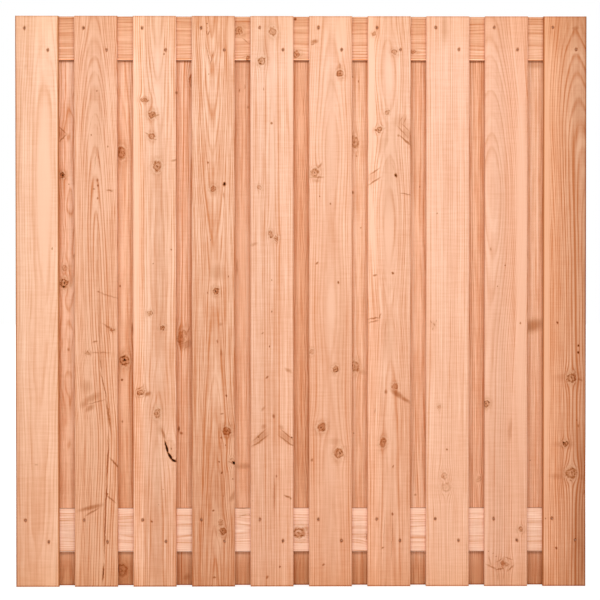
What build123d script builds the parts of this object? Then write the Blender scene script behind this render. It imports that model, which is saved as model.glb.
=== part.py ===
"""A board-on-board timber fence panel: upright boards nailed to both sides of two rails.

Millimetres, +Z up. The origin is at the middle of the panel's foot: X runs along the fence,
the front boards face -Y and the back boards face +Y.
"""

import os

from build123d import *

# Panel outline
panel_width = 1800.0
panel_height = 1800.0

# Upright boards, planed on all sides with eased long edges
board_width = 136.0
board_thickness = 16.0
board_edge_radius = 2.5
board_gap = 49.0  # wished-for opening between neighbours on one side; the pitch evens it out

# Rails, lying flat between the front and the back boards
rail_width = 138.0
rail_thickness = 16.0
rail_edge_radius = 1.2
top_rail_drop = 0.0  # from the head of the boards down to the top rail's upper edge
bottom_rail_rise = 108.0  # from the foot of the boards up to the bottom rail's lower edge

# Square-shank nails with a flat head, two to every crossing of a board and a rail
nail_head_diameter = 6.0
nail_head_thickness = 1.2
nail_head_facets = 8
nail_shank_width = 2.6
nail_point_length = 4.0
nail_point_width = 0.6
nail_set_depth = 0.8  # the head is driven this far below the board's face
nail_point_cover = 2.5  # wood left between the point and the rail's far face
nail_clearance = 0.1  # room round the head and the shank in the wood

# Where a pair of nails stands on a crossing, seen from the face that it is driven into
nail_from_left_edge = 29.5  # upper nail, from the board's left edge
nail_from_right_edge = 33.0  # lower nail, from the board's right edge
top_nail_below_edge = 36.5  # upper nail of the top rail, from the rail's upper edge
top_nail_above_edge = 32.0  # lower nail of the top rail, from the rail's lower edge
bottom_nail_below_edge = 34.0  # the same two for the bottom rail
bottom_nail_above_edge = 36.0
nail_row_climb = 4.5  # rise of each row of nails from the panel's left end to its right

# Layout worked out from the sizes above
front_count = round((panel_width + board_gap) / (board_width + board_gap))
board_pitch = (panel_width - board_width) / (front_count - 1)
front_centres = [board_width / 2 - panel_width / 2 + i * board_pitch for i in range(front_count)]
back_centres = [x + board_pitch / 2 for x in front_centres[:-1]]
board_offset = (rail_thickness + board_thickness) / 2  # board's mid-plane from the rail's
board_face = rail_thickness / 2 + board_thickness  # outer face from the rail's mid-plane
rail_heights = {
    "top": panel_height - top_rail_drop - rail_width / 2,
    "bottom": bottom_rail_rise + rail_width / 2,
}
upper_nail_across = nail_from_left_edge - board_width / 2
lower_nail_across = board_width / 2 - nail_from_right_edge
nail_pairs = {
    "top": [
        (upper_nail_across, rail_width / 2 - top_nail_below_edge),
        (lower_nail_across, top_nail_above_edge - rail_width / 2),
    ],
    "bottom": [
        (upper_nail_across, rail_width / 2 - bottom_nail_below_edge),
        (lower_nail_across, bottom_nail_above_edge - rail_width / 2),
    ],
}
head_seat = nail_set_depth + nail_head_thickness
point_depth = board_thickness + rail_thickness - nail_point_cover


def nail_places(centres, rail_name, side):
    """Planes on the boards' outer faces, one for each nail, with Z pointing out of the wood.

    Side is -1 for the front and 1 for the back. The panel is turned over head to foot
    between the two, so the back's pairs are the front's with up and down exchanged.
    """
    return [
        Plane(
            origin=(
                centre + across,
                side * board_face,
                rail_heights[rail_name] + nail_row_climb * centre / panel_width - side * up,
            ),
            x_dir=(1, 0, 0),
            z_dir=(0, side, 0),
        )
        for centre in centres
        for across, up in nail_pairs[rail_name]
    ]


def write(piece, name):
    """Labels a finished piece and writes it as its own file."""
    piece.part.label = name
    export_step(piece.part, f"parts/{name}.step")


os.makedirs("parts", exist_ok=True)

# One nail, standing on the XY plane of the board's face and running down into the wood
with BuildPart() as nail:
    with BuildSketch(Plane.XY.offset(-head_seat)):
        RegularPolygon(nail_head_diameter / 2, nail_head_facets)
    extrude(amount=nail_head_thickness)
    with BuildSketch(Plane.XY.offset(-head_seat)):
        Rectangle(nail_shank_width, nail_shank_width)
    extrude(amount=head_seat + nail_point_length - point_depth)
    with BuildSketch(Plane.XY.offset(nail_point_length - point_depth)):
        Rectangle(nail_shank_width, nail_shank_width)
    with BuildSketch(Plane.XY.offset(-point_depth)):
        Rectangle(nail_point_width, nail_point_width)
    loft()

# The hole that such a nail leaves in the wood, open at the board's face
with BuildPart() as nail_hole:
    with BuildSketch(Plane.XY.offset(-head_seat)):
        RegularPolygon(nail_head_diameter / 2 + nail_clearance, nail_head_facets)
    extrude(amount=head_seat)
    with BuildSketch(Plane.XY.offset(-head_seat)):
        Rectangle(nail_shank_width + 2 * nail_clearance, nail_shank_width + 2 * nail_clearance)
    extrude(amount=head_seat - point_depth - nail_clearance)

# Upright boards: a planed section stood on its foot, with a hole for each nail
for side, side_name, centres in ((-1, "front", front_centres), (1, "back", back_centres)):
    for number, centre in enumerate(centres, start=1):
        holes = [p for rail_name in rail_heights for p in nail_places([centre], rail_name, side)]
        with BuildPart() as board:
            with BuildSketch(Plane(origin=(centre, side * board_offset, 0))):
                RectangleRounded(board_width, board_thickness, board_edge_radius)
            extrude(amount=panel_height)
            with Locations(*holes):
                add(nail_hole.part, mode=Mode.SUBTRACT)
        write(board, f"{side_name}_board_{number:02d}")

# Rails: the same kind of section laid along the fence, with the nail points of both sides
for rail_name, rail_height in rail_heights.items():
    holes = nail_places(front_centres, rail_name, -1) + nail_places(back_centres, rail_name, 1)
    with BuildPart() as rail:
        with BuildSketch(Plane(origin=(-panel_width / 2, 0, rail_height), x_dir=(0, 1, 0), z_dir=(1, 0, 0))):
            RectangleRounded(rail_thickness, rail_width, rail_edge_radius)
        extrude(amount=panel_width)
        with Locations(*holes):
            add(nail_hole.part, mode=Mode.SUBTRACT)
    write(rail, f"{rail_name}_rail")

# Nails, one group for each side of each rail
for rail_name in rail_heights:
    for side, side_name, centres in ((-1, "front", front_centres), (1, "back", back_centres)):
        with BuildPart() as nails:
            with Locations(*nail_places(centres, rail_name, side)):
                add(nail.part)
        write(nails, f"{side_name}_nails_{rail_name}_rail")
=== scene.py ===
import math

import bpy
import numpy as np
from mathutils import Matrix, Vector


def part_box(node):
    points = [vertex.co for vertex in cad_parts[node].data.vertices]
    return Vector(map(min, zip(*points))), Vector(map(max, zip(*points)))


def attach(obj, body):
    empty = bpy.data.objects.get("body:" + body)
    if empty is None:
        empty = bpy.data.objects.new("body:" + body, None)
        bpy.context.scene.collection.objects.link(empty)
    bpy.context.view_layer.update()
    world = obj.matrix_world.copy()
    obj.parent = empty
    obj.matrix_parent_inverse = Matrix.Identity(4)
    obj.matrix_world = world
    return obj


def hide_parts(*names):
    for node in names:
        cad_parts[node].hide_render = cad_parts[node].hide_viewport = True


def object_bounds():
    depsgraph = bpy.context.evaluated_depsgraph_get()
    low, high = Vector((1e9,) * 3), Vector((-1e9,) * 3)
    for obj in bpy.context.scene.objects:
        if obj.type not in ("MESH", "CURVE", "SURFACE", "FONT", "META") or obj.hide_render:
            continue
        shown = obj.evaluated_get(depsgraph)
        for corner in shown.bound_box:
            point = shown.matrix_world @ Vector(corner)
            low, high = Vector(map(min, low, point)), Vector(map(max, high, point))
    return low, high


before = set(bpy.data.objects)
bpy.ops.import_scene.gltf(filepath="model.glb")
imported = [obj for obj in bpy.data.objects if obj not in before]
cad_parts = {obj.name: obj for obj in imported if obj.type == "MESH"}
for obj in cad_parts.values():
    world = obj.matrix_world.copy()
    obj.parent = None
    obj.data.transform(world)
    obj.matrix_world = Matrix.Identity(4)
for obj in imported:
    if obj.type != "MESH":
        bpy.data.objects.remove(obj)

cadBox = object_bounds()
print("frame loaded:", len(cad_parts), "nodes")

# how a place seen in the photograph, in its pixels, goes onto the panel's front, in millimetres
photo = {"middleX": 300.9, "footY": 586.2, "mmPerPixel": 3.157}


def panelX(px):
    return (px - photo["middleX"]) * photo["mmPerPixel"]


def panelZ(py):
    return (photo["footY"] - py) * photo["mmPerPixel"]


def linearColour(rgb):
    # screen values from 0 to 255 turned into the light values that a shader takes
    c = np.asarray(rgb, float) / 255
    c = np.where(c <= 0.04045, c / 12.92, ((c + 0.055) / 1.055) ** 2.4)
    return (*c, 1.0)


class Wire:  # a shader socket that can be used in sums
    def __init__(self, tree, socket=None):
        self.tree = tree
        self.socket = socket

    def put(self, kind, settings, sockets, out=0):  # any node: its type, its settings, its sockets
        node = self.tree.nodes.new(kind)
        for key, value in settings.items():
            if key == "stops":
                fillRamp(node.color_ramp, value)
            else:
                setattr(node, key, value)
        for key, value in sockets.items():
            if isinstance(value, Wire):
                self.tree.links.new(value.socket, node.inputs[key])
            else:
                node.inputs[key].default_value = value
        return Wire(self.tree, node.outputs[out])

    def math(self, operation, *others):
        sockets = {i: value for i, value in enumerate((self, *others))}
        return self.put("ShaderNodeMath", {"operation": operation}, sockets)

    def __add__(self, other):
        return self.math("ADD", other)

    def __radd__(self, other):
        return self.math("ADD", other)

    def __sub__(self, other):
        return self.math("SUBTRACT", other)

    def __rsub__(self, other):
        return self.put("ShaderNodeMath", {"operation": "SUBTRACT"}, {0: other, 1: self})

    def __mul__(self, other):
        return self.math("MULTIPLY", other)

    def __rmul__(self, other):
        return self.math("MULTIPLY", other)

    def __truediv__(self, other):
        return self.math("DIVIDE", other)

    def __pow__(self, other):
        return self.math("POWER", other)

    def ramp(self, *stops, smooth="EASE"):  # a curve through (place, value) pairs
        return self.put("ShaderNodeValToRGB", {"stops": (smooth, stops)}, {0: self})

    def fade(self, first, last, low=0.0, high=1.0):  # low up to first, high from last on, soft between
        settings = {"interpolation_type": "SMOOTHSTEP"}
        sockets = {"Value": self, "From Min": first, "From Max": last, "To Min": low, "To Max": high}
        return self.put("ShaderNodeMapRange", settings, sockets)

    def moved(self, **how):  # a vector seen from another place, turn and size
        return self.put("ShaderNodeMapping", {"vector_type": "TEXTURE"}, {"Vector": self, **how})

    def vector(self, operation, *others, out=0):
        sockets = {i: value for i, value in enumerate((self, *others))}
        return self.put("ShaderNodeVectorMath", {"operation": operation}, sockets, out)

    def tint(self, other, amount, mode="MIX"):  # this colour, with another mixed in
        settings = {"data_type": "RGBA", "blend_type": mode, "clamp_factor": True}
        return self.put("ShaderNodeMix", settings, {0: amount, 6: self, 7: other}, 2)

    def noise(self, detail=2.0, roughness=0.5, out=0):
        sockets = {"Vector": self, "Scale": 1.0, "Detail": detail, "Roughness": roughness}
        return self.put("ShaderNodeTexNoise", {}, sockets, out)

    def oval(self, x, y, wide, tall, turn):  # 0 at a place of the photograph, 1 at an oval's edge round it
        size = (wide * photo["mmPerPixel"], tall * photo["mmPerPixel"], 1e6)
        seen = self.moved(Location=(panelX(x), panelZ(y), 0), Rotation=(0, 0, -math.radians(turn)), Scale=size)
        return seen.vector("LENGTH", out=1)


def fillRamp(ramp, how):
    ramp.interpolation, stops = how
    while len(ramp.elements) < len(stops):
        ramp.elements.new(1.0)
    for element, (place, value) in zip(ramp.elements, stops):
        element.position = place
        element.color = (value, value, value, 1.0)


def joined(masks):  # the strongest of several masks
    whole = masks[0]
    for mask in masks[1:]:
        whole = whole.math("MAXIMUM", mask)
    return whole


def surface(name, points, quads, strips):
    # quads over whole arrays of points, turned so that the enclosed volume is positive
    corners = points[quads]
    a, b, c, d = corners[:, 0], corners[:, 1], corners[:, 2], corners[:, 3]
    volume = (a * np.cross(b, c)).sum() + (a * np.cross(c, d)).sum()
    if volume < 0:
        quads = quads[:, ::-1]
        strips = None if strips is None else strips[:, ::-1]
    mesh = bpy.data.meshes.new(name)
    mesh.vertices.add(len(points))
    mesh.vertices.foreach_set("co", (points / 1000).astype(np.float32).ravel())
    mesh.loops.add(quads.size)
    mesh.loops.foreach_set("vertex_index", quads.astype(np.int32).ravel())
    mesh.polygons.add(len(quads))
    mesh.polygons.foreach_set("loop_start", np.arange(0, quads.size, 4, dtype=np.int32))
    mesh.polygons.foreach_set("loop_total", np.full(len(quads), 4, dtype=np.int32))
    if strips is not None:
        layer = mesh.uv_layers.new(name="OFBake")
        layer.data.foreach_set("uv", strips.astype(np.float32).ravel())
    mesh.update(calc_edges=True)
    mesh.validate()
    mesh.polygons.foreach_set("use_smooth", np.ones(len(mesh.polygons), dtype=bool))
    mesh.set_sharp_from_angle(angle=math.radians(40))
    piece = bpy.data.objects.new(name, mesh)
    bpy.context.scene.collection.objects.link(piece)
    return piece


def spaced(lo, hi, step, spans, fine):
    # even marks from lo to hi, with finer ones over each span
    even = np.linspace(lo, hi, int(round((hi - lo) / step)) + 1)
    inside = np.zeros(len(even), bool)
    marks = []
    for first, last in spans:
        inside |= (even > first - fine) & (even < last + fine)
        marks.append(np.arange(first, last + fine / 2, fine))
    inside[[0, -1]] = False
    marks = np.sort(np.concatenate([even[~inside], *marks]))
    clear = (marks > lo + fine * 0.4) & (marks < hi - fine * 0.4)
    marks = marks[(marks == lo) | (marks == hi) | clear]
    return marks[np.concatenate([[True], np.diff(marks) > fine * 0.4])]


# the planed timber that everything is cut from, in millimetres
stock = {
    "boardEdge": 2.5,
    "railEdge": 1.2,
    "edgeSteps": 5,
    "acrossStep": 12.0,
    "alongStep": 45.0,
    "nailReach": 9.0,
    "nailFine": 1.0,
    "dentDepth": 1.5,
    "dentRadius": 3.3,
    "dentLip": 1.6,
    "splitLength": 9.0,
    "splitWidth": 0.7,
    "splitDepth": 0.5,
}

# where a pair of nails stands on a crossing, from the middles of the board and the rail, in
# millimetres, and how far each row of nails rises over the panel's width
nailRows = {
    "bottom": ((-38.5, 35.0), (35.0, -33.0)),
    "top": ((-38.5, 32.5), (35.0, -37.0)),
    "climb": 4.5,
}
panelWidth = (cadBox[1][0] - cadBox[0][0]) * 1000
railMiddles = {where: (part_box(f"{where}_rail")[0][2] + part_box(f"{where}_rail")[1][2]) * 500 for where in ("bottom", "top")}


def nailPlaces(where, centre, turn):  # (across from the board's middle, height) of a board's nails on one rail
    middle = railMiddles[where] + nailRows["climb"] * centre / panelWidth
    return [(a, middle + turn * u) for a, u in nailRows[where]]


def plank(length, width, thick, r, nails, pits, bow, cup):
    # A rounded rectangle carried along the length: the loop runs over the outer face, round two
    # corners and back over the inner face. Bow moves a station inwards by a sine between the rails,
    # cup hollows the outer face by one less the square of the way from its middle, each nail
    # presses a long oval dent into that face, and each pit lowers it by its own shape.
    half, deep = width / 2, thick / 2
    turns = np.linspace(0, np.pi / 2, stock["edgeSteps"] + 1)
    reach, fine = stock["nailReach"], stock["nailFine"]
    finerAcross = [(a - reach, a + reach) for a, s in nails]
    finerAlong = [(s - reach - 4, s + reach + 4) for a, s in nails]
    for pit in pits:
        finerAcross.append((pit["across"] - pit["wide"], pit["across"] + pit["wide"]))
        finerAlong.append((pit["along"] - pit["tall"], pit["along"] + pit["tall"]))
    outer = spaced(r - half, half - r, stock["acrossStep"], finerAcross, fine)
    stations = spaced(0.0, length, stock["alongStep"], finerAlong, fine * 1.3)
    inner = np.linspace(half - r, r - half, 9 + len(outer) % 2)  # keeps the loop's count even
    across = np.concatenate([
        outer,
        half - r + r * np.sin(turns[1:]),
        half - r + r * np.cos(turns[1:]),
        inner[1:],
        r - half - r * np.sin(turns[1:]),
        r - half - r * np.cos(turns[1:-1]),
    ])
    out = np.concatenate([
        np.full(len(outer), deep),
        deep - r + r * np.cos(turns[1:]),
        r - deep - r * np.sin(turns[1:]),
        np.full(len(inner) - 1, -deep),
        r - deep - r * np.cos(turns[1:]),
        deep - r + r * np.sin(turns[1:-1]),
    ])
    n, m = len(across), len(stations)
    a = np.broadcast_to(across, (m, n)).copy()
    o = np.broadcast_to(out, (m, n)).copy()
    s = np.broadcast_to(stations[:, None], (m, n)).copy()
    face = np.clip((o - deep + 2.0) / 2.0, 0, 1)  # 1 on the outer face, 0 on the rest
    for na, ns in nails:
        way = np.hypot(a - na, (s - ns) / 1.35)
        dent = np.clip((stock["dentRadius"] + stock["dentLip"] - way) / stock["dentLip"], 0, 1)
        split = np.exp(-((a - na) / stock["splitWidth"]) ** 2)
        split = split * np.clip(1 - np.abs(s - ns) / stock["splitLength"], 0, 1)
        o -= face * (stock["dentDepth"] * dent * dent * (3 - 2 * dent) + stock["splitDepth"] * split)
    for pit in pits:
        o -= face * pit["depth"] * pit["shape"](a, s)
    low, high = railMiddles["bottom"], railMiddles["top"]
    between = np.sin(np.pi * np.clip((s - low) / (high - low), 0, 1))
    o -= bow * between + cup * (1 - (a / half) ** 2) * (o + deep) / thick
    ring = np.arange(n)
    lower = np.arange(m - 1)[:, None] * n
    after = (ring + 1) % n
    quads = np.stack([lower + ring, lower + after, lower + n + after, lower + n + ring], 2).reshape(-1, 4)
    # each end is a fan of quads round one middle point
    middle = np.array([[0.0, 0.0, 0.0], [0.0, 0.0, length]])
    points = np.concatenate([np.stack([a, o, s], 2).reshape(-1, 3), middle])
    pairs = np.arange(0, n, 2)
    top = (m - 1) * n
    foot = np.stack([pairs, np.full(len(pairs), m * n), (pairs + 2) % n, pairs + 1], 1)
    tip = np.full(len(pairs), m * n + 1)
    head = np.stack([top + pairs, top + pairs + 1, top + (pairs + 2) % n, tip], 1)
    cap = np.concatenate([foot, head])
    # flat pattern as a UV map: the sides unrolled and cut into three lengths laid side by side,
    # with the two ends above them
    steps = np.hypot(np.diff(across, append=across[0]), np.diff(out, append=out[0]))
    girth = np.concatenate([[0], np.cumsum(steps)])
    lap, third = girth[-1] + 8, length / 3
    low, col = np.repeat(np.arange(m - 1), n), np.tile(ring, m - 1)
    part = np.minimum(((stations[low] + stations[low + 1]) / 2 / third).astype(int), 2)[:, None]
    u = np.stack([girth[col], girth[col + 1], girth[col + 1], girth[col]], 1) + part * lap + 4
    v = np.stack([stations[low], stations[low], stations[low + 1], stations[low + 1]], 1) - part * third + 30
    isHead = (np.arange(len(cap)) >= len(foot))[:, None]
    ends = points[cap]
    cu = ends[:, :, 0] + half + 6 + isHead * (width + 12)
    cv = ends[:, :, 1] + deep + third + 90
    sheet = max(3 * lap, third + 100 + thick)
    strips = np.concatenate([np.stack([u, v], 2), np.stack([cu, cv], 2)]) / sheet
    return points, np.concatenate([quads, cap]), strips


def woodPiece(node, upright, side, edge, nails, pits, bow, cup, material):
    lo, hi = (np.array(v) * 1000 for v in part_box(node))
    size, middle = hi - lo, (hi + lo) / 2
    length, width = (size[2], size[0]) if upright else (size[0], size[2])
    points, quads, strips = plank(length, width, size[1], edge, nails, pits, bow, cup)
    across, out, along = points.T
    if upright:
        placed = np.stack([middle[0] + across, middle[1] + side * out, lo[2] + along], 1)
    else:
        placed = np.stack([lo[0] + along, middle[1] + side * out, middle[2] + across], 1)
    piece = surface(node + "_timber", placed, quads, strips)
    piece.data.materials.append(material)
    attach(piece, "root")
    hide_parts(node)


# how the timber varies round a board's own colour, as factors on light, and the darker things in it, with painted
# shade for edges, ends, gaps and feet
timber = {
    "paler": (1.077, 1.24, 1.394),
    "deeper": (0.725, 0.5, 0.32),
    "resin": (0.6, 0.38, 0.175),
    "arrisShade": (0.62, 0.42, 0.25),
    "gapShade": (1.0, 0.905, 0.8),
    "endShade": (0.96, 0.92, 0.86),
    "underRailShade": (222, 197, 174),
    "pitch": (40, 14, 3),
    "roughness": 0.68,
    "sheen": 0.05,
    "sawMarks": 0.35,
    "relief": 0.2,
    "clearLevel": 0.14,
    "halo": 0.7,
}


def woodMaterial(name, looks, upright, centre, half):
    # Growth rings are shells round a pith line that wanders along the board. Knots push the shells
    # aside as a post does a stream: a point moves by its own offset over its distance squared.
    material = bpy.data.materials.new(name)
    material.use_nodes = True
    tree = material.node_tree
    shader = tree.nodes["Principled BSDF"]
    start = Wire(tree)
    seen = start.put("ShaderNodeTexCoord", {}, {}, "Object")
    # right, up and out of the front, in millimetres
    how = {"Vector": seen, "Rotation": (-math.pi / 2, 0, 0), "Scale": (1000, 1000, 1000)}
    spot = seen.put("ShaderNodeMapping", {"vector_type": "POINT"}, how)
    split = spot.put("ShaderNodeSeparateXYZ", {}, {0: spot})
    right, up, out = (Wire(tree, o) for o in split.socket.node.outputs)
    across = (right if upright else up) - centre
    height = up if upright else right + panelWidth / 2
    seed = looks["seed"]
    scale = photo["mmPerPixel"]

    def grainSpace(wide, long):  # noise space stretched along the grain
        size = (wide, long, wide) if upright else (long, wide, wide)
        return spot.moved(Scale=size, Location=(seed * 913.0, seed * 377.0, seed * 51.0))

    # knots are not drawn with a compass
    crumple = grainSpace(9.0, 12.0).noise(3.0, 0.6, 1).vector("SUBTRACT", (0.5, 0.5, 0.5))
    ragged = spot.vector("ADD", crumple.vector("MULTIPLY", (17.0, 19.0, 0.0)))
    torn = spot.vector("ADD", crumple.vector("MULTIPLY", (6.0, 8.0, 0.0)))
    blotch = (grainSpace(6.5, 7.0).noise(2.0, 0.7) * 3.0 - 0.55).math("MAXIMUM", 0.2)
    pushed = across
    marks = []
    halos = []
    for x, y, wide, tall, turn, depth in looks["knots"]:  # darkness, and the push on the grain round it
        way = ragged.oval(x, y, wide * 3.5, tall * 3.5, turn)
        growth = way.ramp((0.0, 1.5), (0.05, 1.1), (0.1, 0.6), (0.19, 0.5), (0.26, 0.95), (0.31, 0.9),
                          (0.37, 0.4), (0.55, 0.2), (0.75, 0.07), (1.0, 0.0), smooth="LINEAR")
        marks.append(growth * blotch * depth)
        halos.append(way.ramp((0.36, 0.0), (0.44, 1.0), (0.56, 0.0)) * blotch * depth)
        body = (wide * 1.2, tall * 2.0) if upright else (wide * 2.0, tall * 1.2)
        push = (spot.oval(x, y, *body, 0) ** -2.0).math("MINIMUM", 1.0)
        place = (panelX(x) if upright else panelZ(y)) - centre
        pushed = pushed - (across - place) * push * looks.get("push", 0.85)
    for x, y, wide, tall, turn, depth in looks["flecks"]:  # small flecks, pitch streaks and checks
        marks.append(torn.oval(x, y, wide, tall, turn).fade(0.2, 1.5, depth, 0.0))
    facing = out.fade(looks["faceOut"] - 6.0, looks["faceOut"] - 2.0)  # 1 on the face itself, 0 behind it
    if "joint" in looks:  # painted shadow below the top rail
        marks.append(spot.oval(*looks["joint"][:5]).fade(0.2, 1.5, looks["joint"][5], 0.0) * facing)
    # the pith's wandering line: offset from the board's middle and depth behind the face, by height
    lengthwise = height / 1800.0
    path = sorted(((panelZ(y) if upright else panelX(y) + panelWidth / 2) / 1800, o, d) for y, o, d in looks["pith"])
    path = [(min(max(p, 0.0), 1.0), o, d) for p, o, d in path]
    sideways = [(p, o * scale / 800 + 0.5) for p, o, d in path]
    inwards = [(p, d / 400 + 0.5) for p, o, d in path]
    offset = pushed - (lengthwise.ramp(*sideways, smooth="B_SPLINE") - 0.5) * 800.0
    depth = out - looks["faceOut"] + (lengthwise.ramp(*inwards, smooth="B_SPLINE") - 0.5) * 400.0
    waver = grainSpace(looks.get("waverWide", 55.0), looks.get("waverLong", 420.0)).noise(2.0, 0.5) - 0.5
    radius = (offset * offset + depth * depth) ** 0.5 + waver * looks.get("waver", 9.0)
    rings = radius / looks["ring"] * (1.0 + radius / looks.get("closing", 150.0))  # closer away from the pith
    drift = {"W": rings * 0.37 + seed * 17.0, "Scale": 1.0, "Detail": 1.0}
    rings = rings + 1.4 * (rings.put("ShaderNodeTexNoise", {"noise_dimensions": "1D"}, drift) - 0.5)
    lot = rings.math("FLOOR")
    chance = rings.put("ShaderNodeTexWhiteNoise", {"noise_dimensions": "1D"}, {"W": lot + seed * 7.0})
    late = (rings - lot).ramp((0.0, 0.55), (0.1, 0.12), (0.22, 0.0), (0.5, 0.1), (0.7, 0.4), (0.86, 1.0),
                              (0.95, 1.0), (1.0, 0.55), smooth="LINEAR")
    steep = offset.math("ABSOLUTE") / radius  # lines show less where a ring lies nearly flat
    late = late * (0.4 + 0.6 * chance) * (0.3 + 0.7 * steep)
    # fine lines along the rings, straight fibres and streaks, broad patches and the saw's faint ridges
    along = {0: radius / 3.4, 1: height / 260.0, 2: seed * 3.7}
    contour = radius.put("ShaderNodeCombineXYZ", {}, along).noise(1.0, 0.5) - 0.5
    fibre = grainSpace(3.5, 120.0).noise(2.0, 0.65) - 0.5
    streak = grainSpace(9.0, 600.0).noise(2.0, 0.6) - 0.5
    patch = grainSpace(60.0, 520.0).noise(2.0, 0.5) - 0.5
    saw = grainSpace(70.0, 5.0).noise(2.0, 0.6) - 0.5
    crisp = looks.get("crisp", 1.0)
    base = 0.38 - 0.13 * looks["contrast"] + looks.get("bias", 0.0)
    line = late * looks["contrast"] + (contour * 0.8 + fibre * 1.1 + streak * 0.6) * crisp + base
    line = line + patch * looks.get("patch", 0.5) + saw * timber["sawMarks"]
    if halos:  # the wood that wraps a knot is pale
        line = line - joined(halos) * timber["halo"]
    if "clears" in looks:  # smooth pale wood with hardly a line
        clears = []
        for x, y, wide, tall, turn, much in looks["clears"]:
            clears.append(spot.oval(x, y, wide, tall, turn).fade(0.5, 1.2, much, 0.0))
        clear = joined(clears)
        line = line * (1.0 - clear) + clear * timber["clearLevel"]
    # head to foot colour: on the boards the darker foot is partly painted shade, for light that weakens towards the
    # bottom, partly the wood's own tone
    low = 1.0 - (up / 1800.0 if upright else (across + half) / (2 * half))
    own = start.put("ShaderNodeMix", {"data_type": "RGBA", "clamp_factor": True}, {
        0: low, 6: linearColour(looks["head"]), 7: linearColour(looks["foot"])}, 2)
    pale = own.tint((*timber["paler"], 1.0), 1.0, "MULTIPLY")
    colour = pale.tint(own.tint((*timber["deeper"], 1.0), 1.0, "MULTIPLY"), line)
    if upright:  # painted shade along the rounded edges and at the ends' edges
        sides = across.math("ABSOLUTE").fade(half - 5.0, half - 2.5, 0.0, looks.get("outline", 0.15))
        rims = [sides, up.fade(1794.5, 1797.5, 0.0, 0.4), up.fade(2.5, 5.5, 0.9, 0.0)]
        colour = colour.tint((*timber["arrisShade"], 1.0), joined(rims), "MULTIPLY")
        ends = up.fade(1640.0, 1780.0).math("MAXIMUM", up.fade(15.0, 110.0, 1.0, 0.0))
        colour = colour.tint((*timber["endShade"], 1.0), ends, "MULTIPLY")
    if "shade" in looks:  # painted shade, warmer where the front boards stand close
        beside = across.math("ABSOLUTE").fade(13.0, 24.0, 0.0, looks["shade"]) * facing
        colour = colour.tint((*timber["gapShade"], 1.0), beside, "MULTIPLY")
    if "edges" in looks:  # tone from the left edge to the right, or a rail's lower edge to its upper; on the rails it also holds painted shade on the undersides and on the bottom rail's top, and a painted highlight along the top rail's lower edge
        colour = colour.tint(((across + half) / (2 * half)).ramp(*looks["edges"]), 1.0, "MULTIPLY")
    if "underRailShade" in looks:  # painted shade below the bottom rail, darker towards the ground
        colour = colour.tint(linearColour(timber["underRailShade"]), up.fade(50.0, 135.0, looks["underRailShade"], 0.0), "MULTIPLY")
    if marks:
        dark = joined(marks)
        for layer in range(2):  # resin takes light away twice, so its colour deepens as it darkens
            colour = colour.tint((*timber["resin"], 1.0), dark, "MULTIPLY")
        colour = colour.tint(linearColour(timber["pitch"]), dark.fade(0.75, 1.2))
    tree.links.new(colour.socket, shader.inputs["Base Color"])
    rough = timber["roughness"] + fibre * 0.12 - late * 0.06
    tree.links.new(rough.socket, shader.inputs["Roughness"])
    relief = fibre * 0.6 + late * 0.4 + saw * 0.5
    bump = start.put("ShaderNodeBump", {}, {"Strength": timber["relief"], "Distance": 0.0004, "Height": relief})
    tree.links.new(bump.socket, shader.inputs["Normal"])
    shader.inputs["Specular IOR Level"].default_value = timber["sheen"]
    return material
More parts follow.
